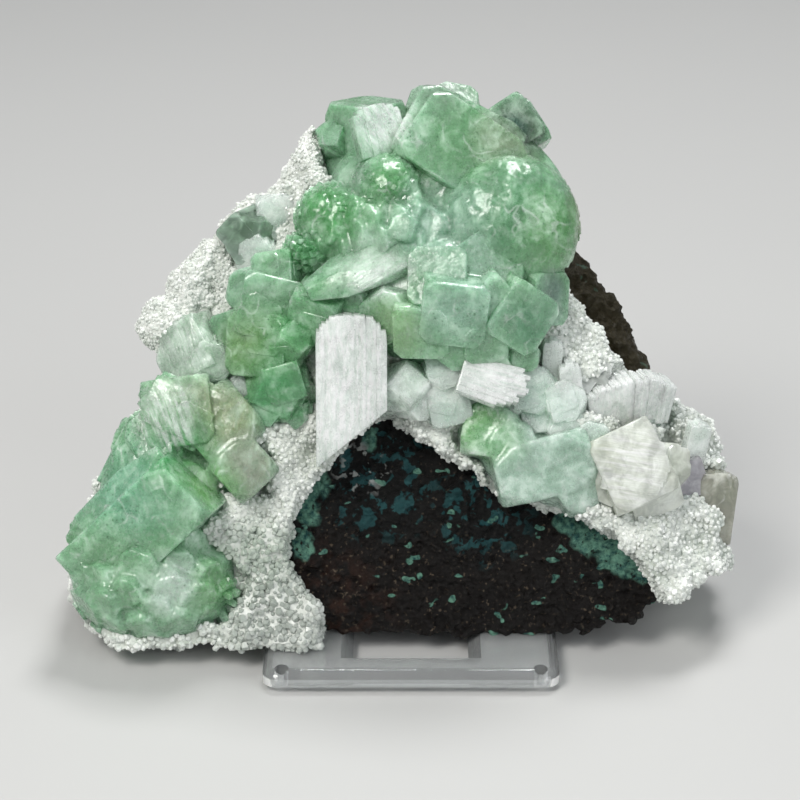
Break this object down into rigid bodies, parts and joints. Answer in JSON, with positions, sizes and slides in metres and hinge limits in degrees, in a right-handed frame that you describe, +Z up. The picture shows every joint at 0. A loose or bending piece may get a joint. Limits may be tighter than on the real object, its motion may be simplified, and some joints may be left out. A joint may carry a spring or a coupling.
{
  "type": "apophyllite cluster",
  "caption": "Cluster of green apophyllite crystals with white stilbite and granular druse on dark basalt, leaning back on a clear acrylic base plate with a window.",
  "frame": {"origin": "on the ground under the middle of the whole piece", "axes": "+X to the viewer's right along the widest extent, +Y away from the viewer, +Z up; the crystal face leans back and faces -Y and up"},
  "size_m": [0.128, 0.0726, 0.0987],
  "materials": {
    "basalt": "matte",
    "druse": "matte",
    "green_apophyllite": "gloss",
    "pale_apophyllite": "gloss",
    "white_stilbite": "satin",
    "yellowish_crystal": "gloss",
    "acrylic": "gloss"
  },
  "bodies": {
    "root": {"basalt_matrix": "basalt", "druse_crust": "druse", "apophyllite_centre": "green_apophyllite", "apophyllite_lower_left": "green_apophyllite", "apophyllite_shoulder": "green_apophyllite", "apophyllite_right_lobe": "green_apophyllite", "apophyllite_right_edge": "green_apophyllite", "apophyllite_pale_left": "pale_apophyllite", "apophyllite_by_blade": "pale_apophyllite", "stilbite_blade": "white_stilbite", "stilbite_finger_left": "white_stilbite", "stilbite_finger_right": "white_stilbite", "stilbite_sheaf": "white_stilbite", "edge_finger": "white_stilbite", "clear_block": "yellowish_crystal", "tabular_crystal": "yellowish_crystal", "purple_grey_crystal": "yellowish_crystal", "base_plate": "acrylic"}
  },
  "joints": []
}
